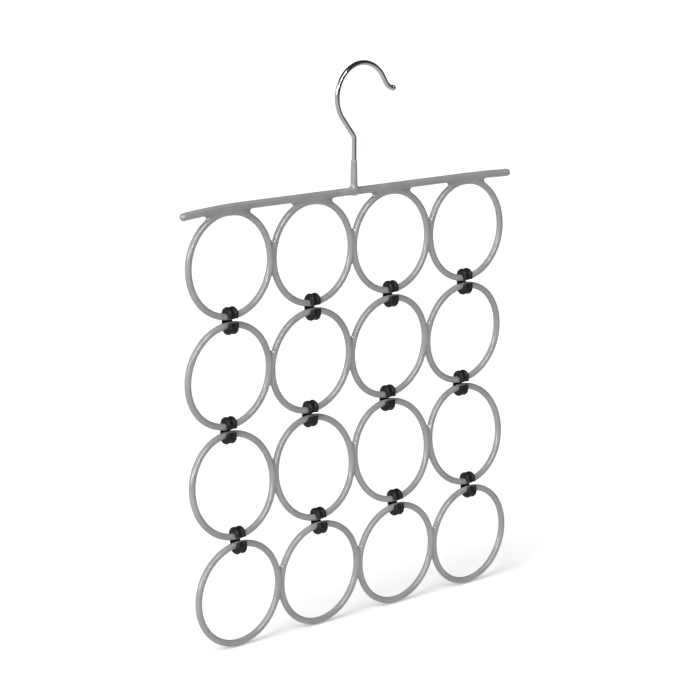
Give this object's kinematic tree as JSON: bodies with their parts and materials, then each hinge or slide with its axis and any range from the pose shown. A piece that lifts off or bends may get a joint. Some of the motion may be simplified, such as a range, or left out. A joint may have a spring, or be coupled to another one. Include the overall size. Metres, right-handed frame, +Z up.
{
  "type": "scarf hanger",
  "caption": "Hanger for scarves: a chromed wire hook on a coated bar, below it rows of coated wire rings that hang from each other on small moulded clips and fold flat.",
  "frame": {"origin": "the inside top of the hook, where the hanger rests on its rail", "axes": "+X along the bar towards the side where the hook's lip ends, +Y from the front, where the clips' mouths are, to the back, +Z up; the hook, the bar and the first row of rings lie in the plane Y = 0"},
  "size_m": [0.3683, 0.022, 0.4748],
  "materials": {
    "hook_chrome": "bright plated",
    "core_steel": "drawn wire",
    "vinyl_skin": "satin dipped",
    "clip_plastic": "fine moulded grain"
  },
  "bodies": {
    "row_1": {"hook_wire": "hook_chrome", "bar_rod": "core_steel", "ring_wire_1_1": "core_steel", "ring_wire_1_2": "core_steel", "ring_wire_1_3": "core_steel", "ring_wire_1_4": "core_steel", "row_skin_1": "vinyl_skin"},
    "clips_1": {"clip_1_1": "clip_plastic", "clip_1_2": "clip_plastic", "clip_1_3": "clip_plastic", "clip_1_4": "clip_plastic"},
    "row_2": {"ring_wire_2_1": "core_steel", "ring_wire_2_2": "core_steel", "ring_wire_2_3": "core_steel", "ring_wire_2_4": "core_steel", "row_skin_2": "vinyl_skin"},
    "clips_2": {"clip_2_1": "clip_plastic", "clip_2_2": "clip_plastic", "clip_2_3": "clip_plastic", "clip_2_4": "clip_plastic"},
    "row_3": {"ring_wire_3_1": "core_steel", "ring_wire_3_2": "core_steel", "ring_wire_3_3": "core_steel", "ring_wire_3_4": "core_steel", "row_skin_3": "vinyl_skin"},
    "clips_3": {"clip_3_1": "clip_plastic", "clip_3_2": "clip_plastic", "clip_3_3": "clip_plastic", "clip_3_4": "clip_plastic"},
    "row_4": {"ring_wire_4_1": "core_steel", "ring_wire_4_2": "core_steel", "ring_wire_4_3": "core_steel", "ring_wire_4_4": "core_steel", "row_skin_4": "vinyl_skin"}
  },
  "joints": [
    {"name": "clips_1_swing", "type": "hinge", "parent": "row_1", "child": "clips_1", "pos_m": [-0.0104, 0, -0.193], "axis": [-1, 0, 0], "range_deg": [-88, 84]},
    {"name": "row_2_swing", "type": "hinge", "parent": "clips_1", "child": "row_2", "pos_m": [-0.0104, -0.00024, -0.1999], "axis": [-1, 0, 0], "range_deg": [-81.2, 90.8]},
    {"name": "clips_2_swing", "type": "hinge", "parent": "row_2", "child": "clips_2", "pos_m": [-0.0093, 0.00391, -0.28479], "axis": [1, 0, 0], "range_deg": [-86.2, 85.8]},
    {"name": "row_3_swing", "type": "hinge", "parent": "clips_2", "child": "row_3", "pos_m": [-0.0093, 0.00427, -0.29169], "axis": [1, 0, 0], "range_deg": [-77.6, 94.4]},
    {"name": "clips_3_swing", "type": "hinge", "parent": "row_3", "child": "clips_3", "pos_m": [-0.007, -0.00373, -0.37631], "axis": [-1, 0, 0], "range_deg": [-91.6, 80.4]},
    {"name": "row_4_swing", "type": "hinge", "parent": "clips_3", "child": "row_4", "pos_m": [-0.007, -0.00504, -0.38308], "axis": [-1, 0, 0], "range_deg": [-73.3, 98.7]}
  ]
}
